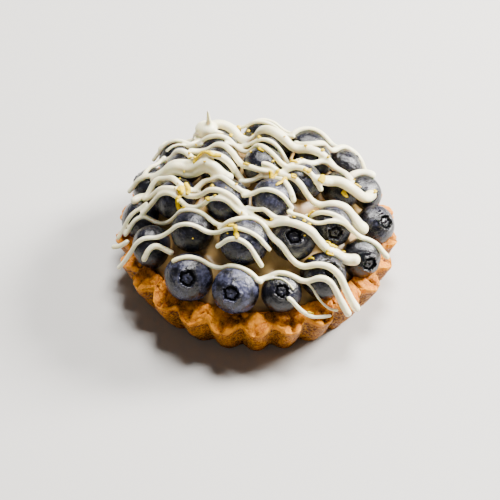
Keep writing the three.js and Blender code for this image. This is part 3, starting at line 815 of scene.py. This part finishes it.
def cream_material():
    """Smooth custard cream, its colour darkened to a tan as painted shade for the gaps between the
    berries.
    """
    material, nodes, links = new_material("custard_cream")
    shader = nodes["Principled BSDF"]
    broad = noise_texture(nodes, links, 120, 3)
    fine = noise_texture(nodes, links, 900, 3)
    # Painted shade: these tones are darker than the custard's own colour, for the shade between the
    # berries.
    shades = [(0.3, (0.22, 0.12, 0.03)), (0.7, (0.38, 0.24, 0.075))]
    colour = ramp(nodes, links, broad.outputs["Fac"], shades)
    links.new(colour, shader.inputs["Base Color"])
    shader.inputs["Roughness"].default_value = 0.42
    shader.inputs["Subsurface Weight"].default_value = 0.25
    shader.inputs["Subsurface Radius"].default_value = (1.2, 0.8, 0.35)
    shader.inputs["Subsurface Scale"].default_value = 1.5 * MM
    bumped(
        nodes,
        links,
        shader,
        [(broad.outputs["Fac"], 0.4, 0.6 * MM), (fine.outputs["Fac"], 0.2, 0.12 * MM)],
    )
    return material


def berry_material():
    """Blue-black skin under a rubbed bloom, dark in the crown, its gloss broken by fine wrinkles."""
    material, nodes, links = new_material("berry_skin")
    shader = nodes["Principled BSDF"]
    mottling = noise_texture(nodes, links, 700, 5, 0.7)
    wrinkles = noise_texture(nodes, links, 950, 4, 0.6, 0.4)
    fine = noise_texture(nodes, links, 2600, 3, 0.6)
    bloom = attribute(nodes, "bloom")
    pit = attribute(nodes, "pit")
    patch = ramp(nodes, links, mottling.outputs["Fac"], [(0.38, 0.15), (0.64, 1.0)])
    covered = arithmetic(nodes, links, "MULTIPLY", bloom, patch)
    skin = mixed(nodes, links, covered, (0.004, 0.004, 0.006), (0.085, 0.09, 0.165))
    crown = mixed(nodes, links, pit, skin, (0.004, 0.0035, 0.004))
    links.new(crown, shader.inputs["Base Color"])
    gloss = ramp(nodes, links, covered, [(0.0, 0.16), (0.7, 0.38)])
    links.new(gloss, shader.inputs["Roughness"])
    shader.inputs["Specular IOR Level"].default_value = 0.5
    bumped(
        nodes,
        links,
        shader,
        [(wrinkles.outputs["Fac"], 0.85, 0.34 * MM), (fine.outputs["Fac"], 0.6, 0.1 * MM)],
    )
    return material


def icing_material():
    """Set ivory icing, a little waxy."""
    material, nodes, links = new_material("ivory_icing")
    shader = nodes["Principled BSDF"]
    broad = noise_texture(nodes, links, 150, 3)
    fine = noise_texture(nodes, links, 1300, 3)
    shades = [(0.3, (0.93, 0.84, 0.50)), (0.7, (0.96, 0.91, 0.66))]
    colour = ramp(nodes, links, broad.outputs["Fac"], shades)
    links.new(colour, shader.inputs["Base Color"])
    shader.inputs["Roughness"].default_value = 0.36
    shader.inputs["Subsurface Weight"].default_value = 0.35
    shader.inputs["Subsurface Radius"].default_value = (1.0, 0.8, 0.45)
    shader.inputs["Subsurface Scale"].default_value = 1 * MM
    bumped(nodes, links, shader, [(fine.outputs["Fac"], 0.12, 0.1 * MM)])
    return material


def zest_material():
    """Fresh lemon peel."""
    material, nodes, links = new_material("lemon_zest")
    shader = nodes["Principled BSDF"]
    fine = noise_texture(nodes, links, 1600, 3)
    shades = [(0.35, (0.54, 0.36, 0.0)), (0.65, (0.70, 0.50, 0.0))]
    colour = ramp(nodes, links, fine.outputs["Fac"], shades)
    links.new(colour, shader.inputs["Base Color"])
    shader.inputs["Roughness"].default_value = 0.4
    shader.inputs["Specular IOR Level"].default_value = 0.1
    bumped(nodes, links, shader, [(fine.outputs["Fac"], 0.3, 0.1 * MM)])
    return material


def floor_material():
    material, nodes, links = new_material("pale_floor")
    shader = nodes["Principled BSDF"]
    shader.inputs["Base Color"].default_value = (0.5, 0.49, 0.47, 1)
    shader.inputs["Roughness"].default_value = 0.6
    return material


# The zest


def zest_shape(tops):
    """Strips, flakes and rings of zest. tops gives the height of what they fall on."""
    draw = random.Random(11)
    shape = bmesh.new()
    for width, places in ZEST_STRIPS:
        add_strip(shape, tops, [Vector(place) * MM for place in places], width * MM, 0)
    for x, y, length, width, azimuth in ZEST_FLAKES:
        length, width = FLAKE_SWELL * length * MM, FLAKE_SWELL * width * MM
        add_flake(shape, tops, x * MM, y * MM, length, width, radians(azimuth))
    for x, y, radius, azimuth in ZEST_RINGS:
        middle = Vector((x, y))
        start = radians(azimuth)
        turns = [start + turn for turn in np.arange(0, 5.6, 0.35)]
        loop = [middle + radius * Vector((cos(turn), 0.7 * sin(turn))) for turn in turns]
        add_strip(shape, tops, [place * MM for place in loop], RING_WIDTH * MM, RING_STAND * MM)
    for _ in range(CRUMBS_TRIED):
        azimuth, radius = draw.uniform(0, tau), CRUMBS_WITHIN * sqrt(draw.random())
        x, y = radius * cos(azimuth), radius * sin(azimuth)
        size = draw.uniform(0.5, 1.1)
        if tops(x * MM, y * MM) > cream_height(radius * MM) + 4 * MM:
            add_flake(shape, tops, x * MM, y * MM, size * MM, 0.6 * size * MM, draw.uniform(0, pi))
    face_outwards(shape)
    return shape


def add_strip(shape, tops, places, width, stand):
    """A thin strip laid along some places on what is under it, stand above it at its loosest."""
    line = smoothed(places, 0.25 * MM)
    width = STRIP_SWELL * width
    heights = [tops(place.x, place.y) for place in line]
    laid = [max(heights[max(0, i - 2) : i + 3]) for i in range(len(line))]
    sections = []
    for i, (place, height) in enumerate(zip(line, laid)):
        ahead = (line[min(i + 1, len(line) - 1)] - line[max(i - 1, 0)]).normalized()
        aside = Vector((-ahead.y, ahead.x, 0))
        t = i / (len(line) - 1)
        taper = 0.55 + 0.45 * min(1, 6 * t, 6 * (1 - t))
        half = aside * (width / 2 * taper * (1 + 0.25 * noise.noise((i * 0.5, place.x * 900, 0))))
        rise = 0.2 * MM + stand * sin(pi * t) + 0.14 * MM * noise.noise((i * 0.35, place.y * 900, 3))
        middle = Vector((place.x, place.y, height + rise))
        tilt = Vector((0, 0, 0.4)) * width * noise.noise((i * 0.2, 7, place.x * 900))
        thick = Vector((0, 0, 0.16 * MM))
        corners = [middle - half - thick - tilt, middle + half - thick + tilt]
        corners += [middle + half + thick + tilt, middle - half + thick - tilt]
        sections.append([shape.verts.new(corner) for corner in corners])
    for low, high in zip(sections, sections[1:]):
        for side in range(4):
            follow = (side + 1) % 4
            shape.faces.new((low[side], low[follow], high[follow], high[side]))
    shape.faces.new(sections[0][::-1])
    shape.faces.new(sections[-1])


def smoothed(places, step):
    """A round curve through some places, as places a step apart."""
    ends = [2 * places[0] - places[1], *places, 2 * places[-1] - places[-2]]
    line = []
    for a, b, c, d in zip(ends, ends[1:], ends[2:], ends[3:]):
        count = max(2, ceil((c - b).length / step))
        for i in range(count):
            t = i / count
            bend = (2 * a - 5 * b + 4 * c - d) * t * t + (3 * b - a - 3 * c + d) * t**3
            line.append(b + ((c - a) * t + bend) / 2)
    return [*line, places[-1]]


def add_flake(shape, tops, x, y, length, width, azimuth):
    """A ragged crumb of zest."""
    made = bmesh.ops.create_icosphere(shape, subdivisions=2, radius=0.5)
    turn = Matrix.Rotation(azimuth, 3, "Z")
    height = tops(x, y) + 0.25 * MM
    for vert in made["verts"]:
        place = vert.co * (1 + 0.5 * noise.noise(vert.co * 4 + Vector((x, y, 0)) * 900))
        place = turn @ Vector((place.x * length, place.y * width, place.z * min(width, 1.1 * MM) * 0.8))
        vert.co = place + Vector((x, y, height))


# Stage


def stage():
    shape = bmesh.new()
    bmesh.ops.create_grid(shape, x_segments=1, y_segments=1, size=3)
    mesh = bpy.data.meshes.new("floor")
    shape.to_mesh(mesh)
    shape.free()
    mesh.materials.append(floor_material())
    floor = bpy.data.objects.new("floor", mesh)
    bpy.context.scene.collection.objects.link(floor)


def add_light(name, azimuth, elevation, distance, size, power, colour):
    """A soft square light that faces the tart."""
    data = bpy.data.lights.new(name, "AREA")
    data.shape = "SQUARE"
    data.size = size
    data.energy = power
    data.color = colour
    light = bpy.data.objects.new(name, data)
    towards = Vector(
        (
            cos(radians(elevation)) * cos(radians(azimuth)),
            cos(radians(elevation)) * sin(radians(azimuth)),
            sin(radians(elevation)),
        )
    )
    light.location = towards * distance + Vector((0, 0, 20 * MM))
    light.rotation_euler = towards.to_track_quat("Z", "Y").to_euler()
    bpy.context.scene.collection.objects.link(light)


def lights():
    add_light("window", 22, 31, 0.9, 0.26, 46, (1.0, 0.97, 0.93))
    add_light("overhead", 75, 68, 1.0, 0.36, 30, (1.0, 0.98, 0.96))
    add_light("front_fill", -110, 40, 1.2, 0.9, 0.8, (1.0, 0.98, 0.96))
    world = bpy.data.worlds.new("studio")
    world.use_nodes = True
    background = world.node_tree.nodes["Background"]
    background.inputs["Color"].default_value = (1.0, 0.97, 0.93, 1)
    background.inputs["Strength"].default_value = 0.07
    bpy.context.scene.world = world


def camera():
    """Looks down on the tart from the front at 45 degrees, from 600 mm away."""
    distance = 600 * MM
    elevation = radians(45)
    focus = Vector((0, 0, 16 * MM))
    aim = focus + Vector((-2.13, -4.73, -4.73)) * MM
    data = bpy.data.cameras.new("camera")
    data.sensor_width = 36
    data.lens = 135.6
    data.clip_start = 0.01
    viewer = bpy.data.objects.new("camera", data)
    viewer.location = focus + Vector((0, -cos(elevation), sin(elevation))) * distance
    viewer.rotation_euler = (viewer.location - aim).to_track_quat("Z", "Y").to_euler()
    bpy.context.scene.collection.objects.link(viewer)
    bpy.context.scene.camera = viewer


def tops_of(pieces):
    """A function that gives the height of the topmost of some pieces at a place."""
    trees = []
    for piece in pieces:
        shape = bmesh.new()
        shape.from_mesh(piece.data)
        trees.append(BVHTree.FromBMesh(shape))
        shape.free()

    def height(x, y):
        hits = [tree.ray_cast(Vector((x, y, 1)), Vector((0, 0, -1)))[0] for tree in trees]
        return max([hit.z for hit in hits if hit] or [0])

    return height


def tart():
    berries = settled_berries()
    case = new_piece("pastry_case", case_shape(), pastry_material())
    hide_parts("crust")
    filling = new_piece("cream_filling", cream_shape(berries), cream_material())
    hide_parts("cream")
    skin = berry_material()
    fruit = []
    for berry in berries:
        piece = new_piece("blue_" + berry["name"], berry_shape(berry), skin)
        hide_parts(berry["name"])
        fruit.append(piece)
    icing = new_piece("icing", icing_shape(berries), icing_material())
    tops = tops_of([icing, case, filling, *fruit])
    new_piece("zest", zest_shape(tops), zest_material())


camera()
lights()
stage()
tart()
